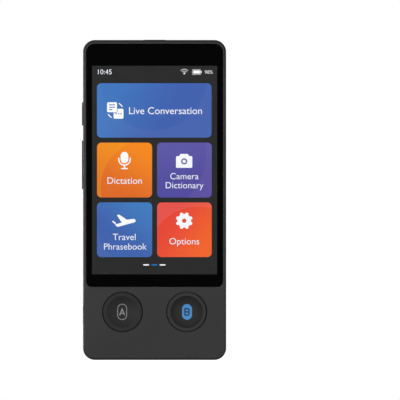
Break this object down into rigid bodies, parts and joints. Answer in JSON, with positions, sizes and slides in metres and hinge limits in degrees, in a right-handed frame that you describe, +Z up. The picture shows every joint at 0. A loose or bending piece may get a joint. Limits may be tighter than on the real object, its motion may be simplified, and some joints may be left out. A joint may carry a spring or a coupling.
{
  "type": "handheld translator",
  "caption": "Slim upright handheld voice translator with a touch screen, round talk keys, side keys and a rear camera.",
  "frame": {"origin": "on the bottom end, in the middle of the width and the depth", "axes": "+Z up along the length, the screen faces -Y, the side keys are on the -X side"},
  "size_m": [0.0598, 0.012, 0.1327],
  "materials": {
    "case_plastic": "fine satin, near black",
    "cover_plastic": "fine satin, near black",
    "key_plastic": "satin",
    "dark_metal": "dark satin",
    "steel": "bright",
    "clear_glass": "polished",
    "display_glass": "lit picture",
    "black_ink": "printed",
    "adhesive": "soft",
    "diffuser": "white",
    "foam": "soft foam",
    "flex": "amber polyimide",
    "frame_metal": "cast, blasted",
    "legend_grey": "translucent grey",
    "light_blue": "translucent blue",
    "legend_blue": "opaque dark blue",
    "circuit_board": "solder resist",
    "black_plastic": "moulded",
    "window_plastic": "dark gloss",
    "clear_plastic": "frosted clear",
    "led": "phosphor",
    "copper": "plated",
    "boot_rubber": "soft",
    "mesh_fabric": "woven",
    "battery_foil": "laminated foil"
  },
  "bodies": {
    "device": {"front_housing": "case_plastic", "back_cover": "cover_plastic", "strap_eyelet": "dark_metal", "strap_bar": "steel", "cover_glass": "clear_glass", "ink_border": "black_ink", "display_adhesive": "adhesive", "lcd_panel": "display_glass", "backlight": "diffuser", "display_foam": "foam", "display_flex": "flex", "chassis": "frame_metal", "chassis_screws": "steel", "board_screws": "steel", "key_board": "circuit_board", "key_domes": "steel", "key_leds": "led", "key_flex": "flex", "side_key_plate": "steel", "side_key_flex": "flex", "side_key_domes": "steel", "main_board": "circuit_board", "sub_board": "circuit_board", "board_connectors": "black_plastic", "board_chips": "black_plastic", "processor_shield": "steel", "power_shield": "steel", "main_flex": "flex", "wifi_antenna": "copper", "usb_shell": "steel", "usb_tongue": "black_plastic", "camera_module": "black_plastic", "camera_barrel": "black_plastic", "camera_lens": "clear_glass", "camera_window": "window_plastic", "camera_lens_cover": "clear_glass", "flash_led": "led", "flash_lens": "clear_plastic", "speaker_box": "black_plastic", "speaker_driver": "dark_metal", "speaker_gasket": "foam", "speaker_mesh": "mesh_fabric", "speaker_contacts": "copper", "microphones": "steel", "mic_boots": "boot_rubber", "battery_cell": "battery_foil", "battery_tape": "adhesive", "battery_circuit": "circuit_board", "battery_lead": "flex", "battery_plug": "black_plastic"},
    "key_a_button": {"key_a": "key_plastic", "key_a_legend": "legend_grey"},
    "key_b_button": {"key_b": "key_plastic", "key_b_light_guide": "light_blue", "key_b_legend": "legend_blue"},
    "power_button": {"power_key": "key_plastic"},
    "volume_rocker": {"volume_key": "key_plastic"}
  },
  "joints": [
    {"name": "key_a_press", "type": "slide", "parent": "device", "child": "key_a_button", "axis": [0, 1, 0], "range_m": [0, 0.00035], "stiffness_N_per_m": 4000},
    {"name": "key_b_press", "type": "slide", "parent": "device", "child": "key_b_button", "axis": [0, 1, 0], "range_m": [0, 0.00035], "stiffness_N_per_m": 4000},
    {"name": "power_key_press", "type": "slide", "parent": "device", "child": "power_button", "axis": [1, 0, 0], "range_m": [0, 0.0003], "stiffness_N_per_m": 4000},
    {"name": "volume_key_rock", "type": "hinge", "parent": "device", "child": "volume_rocker", "pos_m": [-0.02698, 0.001, 0.08085], "axis": [0, 1, 0], "range_deg": [-1.9, 1.9], "stiffness_Nm_per_rad": 0.5}
  ]
}
